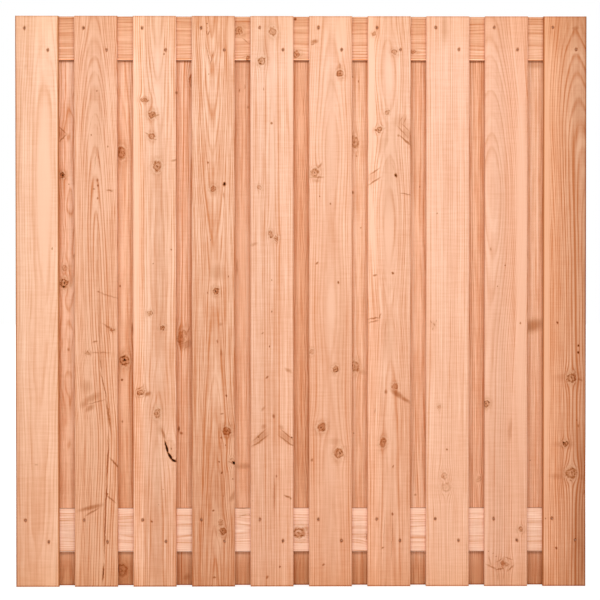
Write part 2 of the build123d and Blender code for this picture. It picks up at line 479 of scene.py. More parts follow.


# front boards, left to right: head and foot are the colours at the top and the bottom, pith is (y, pixels
# right of the middle, millimetres behind the face), and knots, flecks and clears are (x, y, half width,
# half height, turn, strength), all read off the photograph in its pixels
frontBoards = [
    {
        "edges": [(0.0, 1.0), (0.14, 0.99), (0.35, 1.0), (0.6, 1.02), (1.0, 1.03)],
        "seed": 1, "outline": 1.0, "ring": 12, "contrast": 0.5, "crisp": 0.55, "bias": -0.08, "patch": 0.9, "waver": 16.0,
        "head": (250, 195, 160), "foot": (240, 177, 138), "bow": 0.8, "cup": 0.3,
        "pith": [(16, 8, 70), (90, 8, 60), (180, 6, 52), (280, 8, 60), (400, 2, 66), (586, 0, 74)],
        "knots": [],
        "flecks": [
            (17, 300, 5.5, 330, 0, 0.13), (52.5, 248, 0.8, 1.3, 0, 0.49), (26, 67, 2.2, 3, 20, 0.1), (36, 464, 1.6, 0.8, 0, 0.28),
            (55.5, 560, 2, 22, 0, 0.12),
        ],
        "clears": [(44, 185, 9, 95, 0, 0.8)],
    },
    {
        "edges": [(0.0, 1.02), (0.35, 0.97), (0.6, 0.97), (1.0, 1.02)],
        "seed": 2, "ring": 8.5, "contrast": 1.15, "crisp": 1.25, "bias": -0.12, "patch": 0.5, "waver": 7.0,
        "head": (240, 177, 141), "foot": (233, 168, 128), "bow": 0.3, "cup": 0.35,
        "pith": [
            (16, -2, 66), (60, -2, 56), (130, -1, 34), (200, 0, 16), (250, 1, 6), (320, 3, 3),
            (400, 9, 3), (440, 12, 3), (500, 9, 4), (586, 5, 6),
        ],
        "knots": [
            (112.5, 329, 1.9, 1.2, 10, 0.7), (88, 352.3, 2, 1.3, 0, 0.6), (119.5, 469, 1.4, 1, 45, 0.7),
        ],
        "flecks": [
            (95.8, 157, 0.35, 13, 6, 0.5), (98.9, 157, 0.35, 13, -6, 0.5), (97, 115, 8, 55, 0, 0.1), (97, 91, 0.7, 0.9, 0, 0.77),
            (91.4, 134.5, 0.6, 0.8, 0, 0.84), (108, 146, 0.7, 1.1, 0, 0.84), (97.5, 180, 1, 1.6, 0, 0.7),
            (98, 185, 0.9, 1.1, 0, 0.84), (94, 188.5, 1.3, 0.8, 20, 0.63), (110, 190, 3.2, 0.9, 5, 0.56),
            (97.7, 198, 0.8, 1.2, 0, 0.7), (97.8, 245, 0.5, 40, 0, 0.2), (99.4, 330, 0.8, 42, 0, 0.32),
            (108, 294.6, 11, 0.8, 18, 0.32), (98.6, 291, 1.2, 1, 0, 0.7),
            (108.5, 326.5, 6.5, 1, 33, 0.45), (95, 340.8, 2.6, 0.7, -10, 0.56),
            (99, 351.8, 11, 0.7, 0, 0.35), (92, 397, 9, 3.6, -25, 0.32), (86, 386, 6, 7, -30, 0.2), (84, 403, 5, 3, -35, 0.26), (95, 401.5, 10, 0.7, -14, 0.45),
            (90, 407, 5.5, 2.4, -35, 0.36), (100.3, 362, 0.6, 10, -8, 0.5), (103.6, 385, 0.7, 14, -14, 0.6),
            (108.4, 415, 1, 15, -7, 0.75), (107.8, 437, 0.6, 8, 5, 0.35),
            (107.2, 462, 0.7, 22, 4, 0.75), (105.7, 498, 0.7, 14, 4, 0.8),
            (104.7, 531, 0.7, 26, 2, 0.85), (102.8, 572, 0.9, 9, 4, 1), (115, 463, 8, 1, 48, 0.7),
            (107.3, 493.3, 0.9, 1, 0, 0.91), (90, 507, 13, 2.2, -14, 0.46), (92, 511, 8, 1, -30, 0.5), (110, 497.5, 7, 0.9, 40, 0.5),
        ],
    },
    {
        "edges": [(0.0, 1.1), (0.15, 1.09), (0.32, 0.98), (0.6, 0.95), (0.85, 1.0), (1.0, 1.02)],
        "seed": 3, "ring": 10, "contrast": 1.05, "crisp": 1.15, "bias": 0, "patch": 0.7, "waver": 8.0,
        "head": (249, 191, 156), "foot": (239, 177, 140), "bow": 1.1, "cup": 0.3,
        "pith": [
            (16, 3, 30), (60, 3, 36), (110, 4, 44), (180, 4, 48), (265, 5, 40), (320, 5, 48),
            (378, 3, 44), (480, 3, 30), (586, 2, 24),
        ],
        "knots": [
            (144.4, 99.8, 3.2, 1.6, 10, 0.6), (152.4, 114.5, 2.8, 2.8, -20, 0.7),
            (151.6, 136, 2.4, 2.6, 0, 0.65), (157.1, 165.8, 3.1, 4.4, 0, 0.72),
            (150, 312.3, 2.1, 1.7, -20, 0.65), (162.3, 327, 2.2, 2, 0, 0.8),
            (140.3, 392, 3, 2, -20, 0.8), (156.8, 412.5, 2.7, 4, 8, 0.7),
            (171, 448, 4, 8, -12, 0.14),
        ],
        "flecks": [
            (174, 160, 3, 1.2, -15, 0.4), (176, 92.5, 0.7, 1.3, 0, 0.84), (162, 250, 9, 130, 0, 0.08), (164.2, 54, 0.8, 0.9, 0, 0.77),
            (171, 249, 0.8, 0.9, 0, 0.84), (153, 263, 0.8, 0.8, 0, 0.77), (147.5, 393, 3.4, 2.2, -25, 0.6),
            (139, 387.5, 4.5, 0.7, -25, 0.5), (139, 396, 3, 0.6, 10, 0.4), (143, 385, 0.6, 3, 10, 0.3),
            (157, 115, 2.6, 0.9, -15, 0.55), (149, 111, 2.4, 0.7, -50, 0.4), (147.5, 133.6, 3.2, 0.8, 25, 0.5),
            (155, 139, 2, 0.6, 20, 0.4), (160, 171, 1.6, 0.7, -40, 0.5), (153, 162, 0.7, 3, 15, 0.4), (171, 448, 0.5, 1.5, -15, 0.98), (163, 433, 1.6, 7, -20, 0.55),
            (166.2, 446.5, 1.1, 7, -15, 1.6), (169.7, 455.6, 1.3, 4.8, -31, 1.7),
            (173.6, 459.8, 3, 1.3, 29, 1.7), (175.9, 458.2, 0.4, 2.4, 20, 0.9),
            (157, 485, 5, 32, 0, 0.1), (160, 429, 4, 6, 0, 0.2), (151.2, 521, 0.9, 1.2, -30, 0.77), (162.7, 489, 0.5, 0.6, 0, 0.84),
            (158.5, 504, 0.5, 0.6, 0, 0.56),
        ],
        "clears": [(159, 60, 5, 52, 0, 0.5), (136, 210, 5, 200, 0, 0.7)],
    },
    {
        "seed": 4, "ring": 8, "contrast": 1.35, "crisp": 1.7, "bias": 0.07, "patch": 0.6, "waver": 6.0,
        "head": (245, 187, 152), "foot": (224, 159, 120), "bow": 0.2, "cup": 0.4,
        "pith": [
            (16, -2, 22), (63, -1, 30), (165, 0, 46), (255, 2, 58), (300, 1, 58), (420, 2, 44),
            (520, 3, 30), (586, 2, 24),
        ],
        "knots": [
            (213, 188, 2.4, 2.6, 0, 0.75), (215.5, 290.3, 2.4, 2.8, 0, 0.78),
            (226.5, 430.5, 3.2, 3.4, 20, 0.75), (220.5, 522, 2.2, 2.4, 0, 0.55),
            (222.5, 530.8, 2.8, 3, 0, 0.75), (232, 461, 3, 2.4, 25, 0.35),
        ],
        "flecks": [
            (217, 272, 8, 8, 0, 0.22), (218, 500, 8, 42, 0, 0.1), (207, 23.4, 0.5, 0.6, 0, 1.05), (207.3, 28, 0.4, 0.5, 0, 0.91),
            (206.9, 33, 0.35, 2.4, -18, 0.77), (208.7, 33, 0.35, 2.4, 14, 0.77),
            (208, 54, 0.4, 10, -13, 0.5), (211.8, 58, 0.4, 6, 12, 0.7), (208.6, 73.8, 0.6, 0.7, 0, 0.84),
            (208, 162.3, 0.7, 1, 0, 0.84), (224.2, 183.4, 1.6, 2, 0, 1.3), (223.6, 195, 0.5, 4, 0, 0.56),
            (210.5, 239.7, 0.4, 1, 0, 0.84), (228.2, 275.5, 0.6, 0.9, 0, 0.84),
            (207.3, 292, 0.6, 1, 0, 0.7), (220.5, 323.5, 2, 1.6, -30, 0.3),
            (217, 340.5, 0.8, 1.8, 0, 0.56), (221, 352, 1.2, 3.4, 0, 0.33), (226, 395, 0.9, 1.4, 0, 0.87),
            (221.5, 413, 1.8, 0.8, -10, 0.7), (220.8, 437.2, 0.9, 1.1, 0, 0.77),
            (225, 444.3, 0.6, 0.8, 0, 0.7), (218.8, 461.3, 0.8, 1, 0, 0.84),
            (221.3, 472.4, 0.9, 1.2, 0, 0.91), (232.5, 478, 0.5, 0.8, 0, 0.7),
            (232, 496, 2.4, 6, 25, 0.3), (223, 495.5, 0.7, 0.6, 0, 0.56), (213, 510, 1.2, 1, -20, 0.87),
            (224, 540.5, 0.8, 1, 0, 0.7), (213.8, 577, 1.6, 1, -20, 0.63),
            (233.7, 462.2, 2, 1.4, 25, 1.7),
        ],
        "clears": [(230, 36, 4, 28, 0, 0.8)],
    },
    {
        "edges": [(0.0, 1.0), (0.3, 0.97), (0.5, 0.98), (0.8, 1.03), (1.0, 1.02)],
        "seed": 5, "ring": 9, "contrast": 0.72, "crisp": 0.77, "bias": 0, "patch": 0.5, "waver": 5.0,
        "head": (249, 193, 160), "foot": (240, 178, 142), "bow": 0.6, "cup": 0.25,
        "pith": [
            (16, -1, 18), (120, 0, 14), (240, 0, 8), (290, 0, 5), (330, 0, 8), (430, 0, 6), (586, 1, 8),
        ],
        "knots": [
            (272.5, 31.5, 2.8, 3.8, -20, 0.55), (261.5, 60.5, 2.8, 3.4, 25, 0.75),
            (270.5, 233.3, 1.8, 2.7, -10, 0.62), (275.7, 238, 1.9, 2.2, 30, 0.58),
            (259, 187, 1.7, 2, -30, 0.36),
        ],
        "flecks": [
            (262, 50, 6, 16, 0, 0.13), (261.2, 58.8, 0.6, 0.7, 0, 0.85), (263.4, 89, 0.4, 1.6, 0, 0.56),
            (271.3, 122.7, 1, 1.4, 0, 0.77), (254, 243.5, 3.6, 1.4, -25, 0.28),
            (271.5, 279.3, 0.5, 0.6, 0, 0.77), (271.5, 311, 0.7, 1, 0, 0.77),
            (262.2, 332.3, 1.5, 0.7, -45, 0.5), (269.2, 345.4, 0.7, 1, 10, 0.91),
            (266.7, 376.8, 1.7, 1, -45, 0.7), (288, 369.5, 4, 1.7, 30, 0.34),
            (263, 408, 3, 1.2, -55, 0.3), (273.3, 415.4, 1.3, 2.4, 0, 0.6),
            (259, 434.6, 8.5, 0.8, -42, 0.6), (260.5, 440, 8.5, 0.9, -37, 0.65),
            (256, 443.6, 5, 0.8, -22, 0.55), (260, 437, 9, 4, -42, 0.3),
            (263.5, 426, 2.2, 3, 40, 0.3), (258.3, 436.3, 0.8, 0.8, 0, 1.2),
            (287, 434.4, 8.5, 0.8, 41, 0.6), (285.5, 440, 8.5, 0.9, 37, 0.65),
            (290, 443.6, 5, 0.8, 22, 0.55), (286, 437, 9, 4, 41, 0.3),
            (280.5, 426.5, 3, 2.2, 45, 0.25), (291.6, 437.3, 0.8, 0.8, 0, 1.2),
            (276, 475.5, 0.8, 1.2, 0, 0.7), (287, 496, 3.4, 1, 20, 0.65), (290.3, 498, 1, 0.8, 30, 0.6),
            (252.3, 500.4, 0.4, 0.4, 0, 0.98), (279.5, 566.5, 0.8, 1.2, 20, 0.84),
            (266.8, 577, 1.2, 2, 25, 0.56), (274, 494, 1.2, 16, 0, 0.3),
        ],
        "clears": [(272, 150, 2.5, 120, 0, 0.5), (290, 60, 3.5, 70, 0, 0.8), (250, 170, 3, 80, 0, 0.5)],
    },
    {
        "edges": [(0.0, 1.02), (0.5, 0.98), (0.8, 1.02), (1.0, 1.0)],
        "seed": 6, "ring": 11, "contrast": 0.7, "crisp": 0.6, "bias": 0, "patch": 0.7, "waver": 7.0,
        "head": (250, 192, 158), "foot": (239, 174, 136), "bow": 0.9, "cup": 0.35,
        "pith": [
            (16, 1, 66), (95, 1, 54), (150, 1, 42), (230, 0, 56), (302, 0, 42), (375, 0, 56),
            (450, 0, 46), (586, 2, 36),
        ],
        "knots": [
            (339.7, 73, 2.7, 2.8, 0, 0.75), (314.5, 172, 3.4, 3, -30, 0.7),
            (335.5, 368.3, 2.2, 2.8, 10, 0.85), (321.3, 426.6, 3.6, 3.2, -40, 0.75),
            (338.8, 452.7, 3.4, 4, 10, 0.72), (311.3, 351, 1.8, 2.4, 20, 0.5),
        ],
        "flecks": [
            (341, 340, 7, 110, 0, 0.12), (331, 85, 5, 24, 0, 0.1), (331, 160, 14, 40, 0, 0.05), (314, 41.5, 3.6, 2, -10, 0.55), (312.5, 44, 2.2, 0.8, -15, 0.5), (314, 172.3, 0.7, 0.7, 0, 1.05),
            (316, 176.6, 7, 1.1, 0, 0.55), (319, 165.5, 1.2, 4, 40, 0.5), (316, 180, 4.5, 2, 0, 0.25), (319.3, 195.5, 0.6, 0.8, 0, 0.84),
            (330.2, 203, 0.8, 1.2, 0, 0.7), (316.7, 262.5, 1.7, 0.8, -45, 0.7),
            (338, 281.7, 1, 1.5, -20, 0.95), (311.5, 459.5, 1.2, 1.6, 30, 0.59),
            (323.3, 564.5, 1.5, 1, -40, 0.7), (336, 441, 7, 4, 0, 0.18), (339.5, 66, 0.8, 3.4, -8, 0.56),
        ],
        "clears": [(331, 303, 4, 25, 0, 0.8), (331, 140, 5, 40, 0, 0.4), (341, 35, 6, 25, 0, 0.8)],
    },
    {
        "edges": [(0.0, 1.08), (0.15, 1.06), (0.4, 0.98), (1.0, 0.98)],
        "seed": 7, "ring": 10, "contrast": 0.92, "crisp": 0.92, "bias": 0, "patch": 0.7, "waver": 7.0,
        "head": (250, 192, 158), "foot": (238, 171, 132), "bow": 0.7, "cup": 0.3,
        "pith": [
            (16, -1, 58), (41, -1, 54), (75, -1, 46), (108, 0, 54), (135, 0, 58), (165, -1, 52),
            (230, 0, 40), (300, 0, 56), (330, 1, 52), (420, 1, 42), (586, 2, 34),
        ],
        "knots": [
            (373.5, 33.7, 1.9, 1.4, -25, 0.55), (394, 52, 2.4, 1.9, 30, 0.55),
            (387, 112, 1.6, 1.8, 0, 0.65), (378.7, 129, 2.8, 2.2, -30, 0.75),
            (394.5, 386, 2.5, 2.5, 0, 0.55), (382.8, 441.7, 2.4, 3.9, 15, 0.6),
        ],
        "flecks": [
            (391, 165, 11, 60, 0, 0.14), (398, 122, 9, 8, 30, 0.18), (384, 142, 6, 13, 20, 0.18), (395.5, 174.5, 1.5, 2.3, -20, 1.1), (393, 167, 0.7, 4, -15, 0.3), (374, 171, 6.5, 0.8, -35, 0.5), (374, 180.5, 7, 1, -33, 0.6), (373, 176, 6, 4, -33, 0.18), (402, 131, 9, 0.8, 48, 0.5), (405, 127, 7, 0.7, 45, 0.42), (400.5, 119, 0.6, 4.5, 30, 0.4),
            (404.5, 119.5, 0.6, 4.5, 20, 0.4),
            (405, 133, 6.5, 5, 45, 0.24), (405, 140, 8, 1.1, 42, 0.65), (409.5, 137, 0.8, 9, 0, 0.5),
            (405, 193.3, 6, 0.6, 12, 0.55), (374.7, 274.7, 2.1, 0.9, -15, 0.64),
            (392.5, 272.5, 1.1, 1.3, -20, 0.95), (379.6, 315.4, 0.7, 3, 20, 0.5), (373.4, 317.6, 6, 0.9, -8, 0.6),
            (373, 321, 5, 0.7, -14, 0.5), (388, 340, 6, 22, 0, 0.13), (385.5, 391.3, 1.4, 2.4, 0, 0.6), (397, 393.5, 7, 2.8, 36, 0.55),
            (405, 399, 5.5, 1.8, 32, 0.5), (374.7, 410.2, 0.4, 2.5, 10, 0.56),
            (393, 466, 0.7, 1.6, 10, 0.7), (392.3, 513.7, 0.9, 1.3, 0, 0.84),
            (391.8, 540, 0.5, 20, 2, 0.34), (382.6, 547.5, 1.5, 0.9, -40, 0.7),
            (384, 530, 0.4, 16, 3, 0.25), (398, 135, 1.6, 1.2, 0, 0.49),
        ],
        "clears": [(388, 75, 5, 33, 0, 0.6), (388, 230, 5, 60, 0, 0.8), (372.5, 225, 2.2, 50, -4, 1), (371, 80, 4, 90, 0, 0.9)],
    },
    {
        "edges": [(0.0, 1.03), (0.5, 1.0), (0.85, 1.03), (1.0, 1.0)],
        "seed": 8, "ring": 18, "contrast": 0.55, "crisp": 0.6, "bias": -0.12, "patch": 0.3, "waver": 5.0,
        "push": 0.9, "head": (248, 189, 156), "foot": (243, 181, 144), "bow": 0.4, "cup": 0.2,
        "pith": [(16, -48, 40), (300, -46, 40), (470, -50, 36), (586, -48, 40)],
        "knots": [
            (439, 406.5, 1.2, 2.2, 0, 0.42), (444, 475.5, 2.6, 3, 0, 0.28),
            (446, 487, 3.8, 3.6, 0, 0.25),
        ],
        "flecks": [
            (444, 28, 4, 16, 0, 0.2), (431, 321, 0.6, 1.8, -20, 0.4), (434, 324, 0.7, 2, -30, 0.45), (432.5, 328, 0.6, 1.6, 20, 0.4),
            (436, 320, 0.5, 1.2, 0, 0.35), (433, 324, 4, 5, 0, 0.1), (436.8, 212.5, 0.7, 1, 0, 0.63), (446.8, 449.2, 0.9, 1.1, 0, 0.77),
            (443.6, 476, 0.5, 1.6, 0, 0.56), (466.6, 560, 0.5, 26, 0, 0.3),
        ],
    },
    {
        "edges": [(0.0, 1.02), (0.35, 0.96), (0.7, 1.03), (1.0, 1.02)],
        "seed": 9, "ring": 11, "contrast": 0.77, "crisp": 0.5, "bias": -0.08, "patch": 0.6, "waver": 8.0,
        "head": (243, 180, 145), "foot": (236, 173, 137), "bow": 0.6, "cup": 0.3,
        "pith": [
            (16, -17, 86), (80, -16, 66), (138, -15, 46), (190, -14, 28), (260, -13, 46), (330, -20, 50),
            (420, -24, 48), (586, -22, 52),
        ],
        "knots": [
            (486.2, 403, 2.2, 2.8, 20, 0.85), (521, 529, 2, 2.1, 0, 0.65), (505, 564, 3.6, 2.2, 20, 0.5),
        ],
        "flecks": [
            (490.5, 248.5, 0.8, 1.8, 0, 0.42), (505, 264.6, 0.7, 0.8, 0, 0.77),
            (497.3, 285.5, 0.6, 0.7, 0, 0.7), (520.3, 322.5, 0.7, 1.2, 0, 0.77),
            (510, 430, 2, 11, 3, 0.26), (488.5, 550.8, 0.6, 0.6, 0, 0.8),
            (493.4, 553.2, 0.5, 0.5, 0, 0.98), (496.5, 556.3, 0.5, 0.4, 0, 0.84),
            (500, 560, 4.5, 0.7, -35, 0.4), (492, 567, 6, 0.9, 25, 0.45), (500, 569, 4.5, 0.9, -12, 0.55),
            (511, 568, 4.5, 0.9, -45, 0.5), (509, 558.5, 4.5, 0.7, 20, 0.4), (490, 561, 0.7, 5, -15, 0.35), (505, 564, 8, 5, 0, 0.14), (504, 575, 0.5, 5, 10, 0.3),
            (498, 576, 0.5, 5, 0, 0.3),
        ],
        "clears": [(521, 260, 6, 230, 0, 0.8)],
    },
    {
        "seed": 10, "outline": 1.0, "ring": 14, "closing": 170.0, "contrast": 1.1, "crisp": 1.1, "bias": 0, "patch": 0.6,
        "waver": 7.0, "head": (228, 162, 122), "foot": (229, 163, 124), "bow": 0.3, "cup": 0.35,
        "edges": [(0.0, 1.1), (0.25, 1.08), (0.5, 0.98), (0.8, 0.89), (1.0, 0.82)],
        "pith": [
            (16, 10, 92), (55, 11, 78), (110, 14, 56), (150, 18, 40), (250, 25, 24), (400, 27, 18),
            (586, 26, 20),
        ],
        "knots": [
            (571.5, 377, 3.6, 3.8, 10, 0.8), (565.4, 443.2, 2.5, 2.1, 0, 1.05),
            (571.5, 473, 4.4, 4.4, 0, 0.7),
        ],
        "flecks": [
            (588, 300, 5, 330, 0, 0.2), (565, 28, 22, 20, 0, 0.05), (565, 572, 22, 22, 0, 0.06), (575, 27.5, 3.6, 2.2, -10, 0.3), (581, 535, 8, 65, 0, 0.3), (584, 470, 6, 40, -8, 0.25), (578, 105, 7, 18, 0, 0.15), (557.3, 322, 1.1, 1.5, -10, 1.01),
            (578.4, 345, 1, 1.3, 0, 1.01), (578.3, 351.8, 1.2, 1.4, 0, 1.04), (568, 377, 14, 4.4, 0, 0.2),
            (565, 443.5, 10, 3.4, 0, 0.22), (572, 474, 14, 4.4, 0, 0.2), (584.6, 492, 1.3, 4, 20, 0.5), (577, 419.5, 0.6, 0.9, 0, 0.6), (578.5, 425.5, 0.9, 1.7, -20, 0.5), (575, 470, 2.2, 1.2, -30, 0.6), (571, 480.5, 1.7, 0.9, 10, 0.65),
            (584, 477, 7, 5, 30, 0.32), (558, 476, 8, 3, 0, 0.2), (567.5, 470, 3, 0.7, -40, 0.45), (574, 373, 2.4, 0.9, -35, 0.55),
            (568, 381, 2.6, 0.8, 20, 0.5), (580, 379, 4, 1.2, 25, 0.4),
            (556.6, 548, 1.2, 1.2, 0, 0.95), (545.5, 518.4, 0.7, 0.8, 0, 0.63),
        ],
        "clears": [(545, 260, 5.5, 330, 0, 0.9)],
    },
]

# back boards, left to right as the front sees them through the gaps
backBoards = [
    {
        "seed": 21, "ring": 7.5, "contrast": 1.2, "waver": 18.0, "waverLong": 150.0,
        "head": (244, 186, 151), "foot": (236, 170, 128),
        "pith": [(16, 3, 40), (160, 2, 30), (300, 2, 36), (586, 0, 44)],
        "knots": [
            (62, 174.3, 1.9, 2.2, 0, 0.95),
            (63.5, 267, 2.2, 2.4, 20, 0.5), (63, 282.5, 3.2, 3.8, 0, 0.95), (90, 420, 3, 3, 0, 0.6),
        ],
        "flecks": [
            (67, 470, 10, 30, 0, 0.05), (62, 129.3, 5.5, 0.8, 43, 0.55), (62, 137.3, 5.5, 0.8, -45, 0.6), (60, 133, 3.5, 4, 0, 0.25),
            (62, 174.3, 1.5, 2, 0, 1.15), (68, 183.5, 0.7, 0.7, 0, 0.6), (67.5, 349.3, 1.1, 1.8, 0, 0.5), (73.5, 255, 0.8, 2, 0, 0.6),
        ],
    },
    {
        "seed": 22, "ring": 8.5, "contrast": 0.85, "waver": 9.0, "head": (246, 189, 152),
        "foot": (230, 162, 118),
        "pith": [(16, -8, 60), (160, -6, 46), (360, -4, 56), (586, -4, 40)],
        "knots": [
            (120.8, 152, 3.2, 5, 0, 0.72), (123.5, 360.3, 3.8, 4.3, 0, 0.85), (121, 571, 4, 5.4, 0, 0.6),
            (96, 250, 3, 4, 0, 0.6),
        ],
        "flecks": [
            (119.3, 285.5, 1, 1.3, 0, 0.85), (132, 328, 1.6, 6, 0, 0.5),
            (121.2, 379.5, 1.1, 1.4, 0, 0.95), (121.5, 421.5, 0.7, 1.4, 0, 0.7),
        ],
    },
    {
        "seed": 23, "ring": 7.5, "contrast": 1.35, "waver": 8.0, "head": (244, 185, 149),
        "foot": (232, 168, 128),
        "pith": [(16, 12, 34), (90, 12, 24), (250, 10, 20), (400, 8, 24), (586, 8, 30)],
        "knots": [(181, 336, 3.6, 5.5, 30, 0.42), (191, 80, 1.8, 5, 0, 0.4), (205, 480, 3, 3.4, 0, 0.6)],
        "flecks": [
            (178, 429, 1, 3, 0, 0.95), (180.5, 433, 2, 1.4, 30, 0.65), (176.6, 92, 0.7, 1.4, 0, 0.6),
            (186, 578, 4, 3, -40, 0.3), (185.5, 344, 7, 5, -25, 0.32), (183, 342.5, 7, 0.9, -20, 0.5),
            (186, 347, 5, 0.8, -35, 0.4), (180, 346, 0.7, 5, 15, 0.3), (187, 331, 0.8, 6, 25, 0.4),
        ],
    },
    {
        "seed": 24, "ring": 6.8, "contrast": 1.0, "bias": -0.12, "waver": 6.0, "head": (232, 170, 132),
        "foot": (241, 178, 138),
        "pith": [(16, -40, 40), (300, -40, 40), (586, -42, 40)],
        "knots": [(262, 200, 3, 4, 0, 0.6)],
        "flecks": [
            (239, 89.5, 0.6, 1.8, 0, 0.65), (244.5, 85.5, 0.5, 2.5, 0, 0.4),
            (247.5, 106, 1, 1.5, 0, 0.35), (236.5, 266, 1, 8, 0, 0.34), (242.5, 466.5, 8, 2.8, 0, 0.28),
        ],
        "clears": [(243, 280, 12, 85, 0, 0.45)],
    },
    {
        "seed": 25, "ring": 6.8, "contrast": 1.4, "bias": -0.08, "waver": 13.0, "waverLong": 130.0,
        "head": (235, 170, 130), "foot": (227, 161, 119),
        "pith": [(16, 15, 40), (100, 12, 30), (200, 17, 40), (330, 13, 30), (586, 15, 44)],
        "knots": [(322, 300, 3, 4, 0, 0.6)],
        "flecks": [(301, 90, 12, 30, 0, 0.05), (301, 470, 12, 30, 0, 0.06)],
        "clears": [(301, 280, 12, 85, 0, 0.3)],
    },
    {
        "seed": 26, "ring": 7.2, "contrast": 0.7, "bias": -0.08, "waver": 7.0, "head": (246, 192, 155),
        "foot": (237, 173, 132),
        "pith": [(16, 30, 40), (300, 32, 40), (586, 30, 40)],
        "knots": [
            (354.5, 141, 3.2, 5, -10, 0.5), (355, 366, 3.4, 4.4, -20, 0.58), (375, 480, 3, 3, 0, 0.6),
        ],
        "flecks": [
            (360, 470, 12, 30, 0, 0.04), (352.5, 75.5, 0.7, 1, 0, 0.5), (358.5, 80, 0.6, 1.3, 0, 0.6), (356.5, 155, 0.8, 1, 0, 0.4),
            (352.5, 191.5, 1.3, 1.6, 0, 0.72), (361, 226.5, 0.8, 0.8, 0, 0.5),
            (360, 371, 6, 3.4, 20, 0.26), (353.5, 433.5, 0.7, 0.7, 0, 0.5),
        ],
    },
    {
        "seed": 27, "ring": 7.2, "contrast": 0.78, "bias": -0.04, "waver": 9.0, "head": (241, 181, 143),
        "foot": (239, 178, 139),
        "pith": [(16, 10, 44), (180, 12, 30), (300, 10, 40), (586, 12, 46)],
        "knots": [(436, 330, 3, 3.6, 0, 0.6)],
        "flecks": [
            (418, 160, 12, 40, 0, 0.09), (418, 470, 12, 30, 0, 0.06), (420, 185.7, 0.7, 1, 0, 0.62),
            (416, 495.5, 1.2, 1.2, 0, 0.5),
        ],
        "clears": [(418, 320, 12, 42, 0, 0.35)],
    },
    {
        "seed": 28, "ring": 6.8, "contrast": 1.2, "bias": -0.03, "waver": 8.0, "head": (241, 181, 142),
        "foot": (233, 168, 129),
        "pith": [(16, -14, 40), (300, -12, 34), (480, -12, 28), (586, -12, 34)],
        "knots": [(479.7, 480, 2, 2.8, 10, 0.36), (455, 160, 3, 3.6, 0, 0.6)],
        "flecks": [(476, 470, 12, 30, 0, 0.06)],
        "clears": [(477, 572, 12, 16, 0, 0.8)],
    },
    {
        "seed": 29, "ring": 6.2, "contrast": 1.9, "bias": -0.02, "waver": 6.0, "head": (245, 190, 153),
        "foot": (237, 175, 137),
        "pith": [(16, 30, 36), (300, 32, 34), (586, 30, 36)],
        "knots": [(556, 200, 3, 4, 0, 0.6)],
        "flecks": [(534.5, 325, 10, 6.5, -18, 0.5), (535, 64, 8, 3, 0, 0.25), (531.6, 461, 0.6, 0.8, 0, 0.7)],
    },
]

# rails: pith is (x, pixels above the middle, millimetres behind the face)
rails = {
    "top": {
        "seed": 31, "ring": 12.8, "contrast": 0.8, "waver": 14.0, "waverLong": 300.0,
        "head": (236, 170, 127), "foot": (241, 182, 145),
        # edges: painted shade on the underside, a painted highlight along the rounded lower edge, then the rail's own
        # tone
        "edges": [(0.0, 0.6), (0.006, 0.7), (0.01, 1.5), (0.028, 1.4), (0.04, 1.0), (0.5, 0.97), (1.0, 0.93)],
        "pith": [(16, -3, 40), (150, 2, 30), (300, 0, 44), (450, -2, 34), (586, 0, 40)],
        "knots": [
            (238.5, 30, 3, 3.2, 0, 0.66), (247.6, 58, 1.8, 2, 0, 0.72), (296, 53.5, 2.8, 2.6, -20, 0.62),
            (413, 51, 2.2, 1.8, 0, 0.56),
        ],
        "flecks": [(295, 18.5, 1.5, 1.4, 30, 0.85), (245, 40, 4, 0.6, 40, 0.4)],
    },
    "bottom": {
        "seed": 32, "ring": 10, "contrast": 0.9, "waver": 16.0, "waverLong": 260.0,
        "head": (252, 200, 168), "foot": (252, 200, 168),
        # edges: painted shade on the underside and on the top ledge, between them the rail's own tone
        "edges": [(0.0, 0.62), (0.012, 0.66), (0.022, 1.0), (0.5, 0.95), (0.99, 1.0), (0.996, 0.72), (1.0, 0.6)],
        "clears": [(301, 510.5, 300, 4.5, 0, 0.6), (301, 547, 300, 4.5, 0, 0.5)], "bias": 0.05,
        "pith": [(16, 0, 60), (150, 2, 50), (300, 0, 60), (450, -2, 52), (586, 1, 60)],
        "knots": [(298.5, 533, 4.8, 4.2, 0, 0.66), (367.5, 537, 1.2, 2.6, 0, 0.6)],
        "flecks": [
            (244, 515, 6, 1, -15, 0.35), (243, 512, 7, 5, 0, 0.16), (249, 514.5, 0.9, 0.7, 0, 0.5), (305, 530, 4, 3, -30, 0.35), (242, 508.2, 7, 0.4, 3, 0.5),
        ],
    },
}


# an open crack round a loose knot, as (across, along) points, and a hole where a knot fell out
looseKnot = {
    "board": 3, "across": 50.0, "along": 425.0, "wide": 19.0, "tall": 32.0, "depth": 2.0, "width": 2.4,
    "crack": ((34.0, 453.0), (41.5, 423.0), (54.0, 402.5), (63.5, 397.0)),
}
fallenKnot = {
    "board": 4, "across": 61.5, "along": 391.5, "wide": 7.0, "tall": 7.0, "depth": 4.0,
    "halfSize": (5.0, 3.6), "turn": 25.0,
}


def crackShape(a, s):
    # 1 within the crack's width of the line through its points, which tapers to nothing at both ends
    line = np.array(looseKnot["crack"])
    start, step = line[:-1, :, None, None], np.diff(line, axis=0)[:, :, None, None]
    along = ((a - start[:, 0]) * step[:, 0] + (s - start[:, 1]) * step[:, 1]) / (step ** 2).sum(1)
    along = np.clip(along, 0, 1)
    way = np.hypot(a - start[:, 0] - along * step[:, 0], s - start[:, 1] - along * step[:, 1])
    share = (along + np.arange(len(step))[:, None, None]) / len(step)
    room = looseKnot["width"] * np.sqrt(np.clip(np.sin(np.pi * share) + 0.1, 0, 1))
    return np.clip((room - way) / 0.6, 0, 1).max(0)


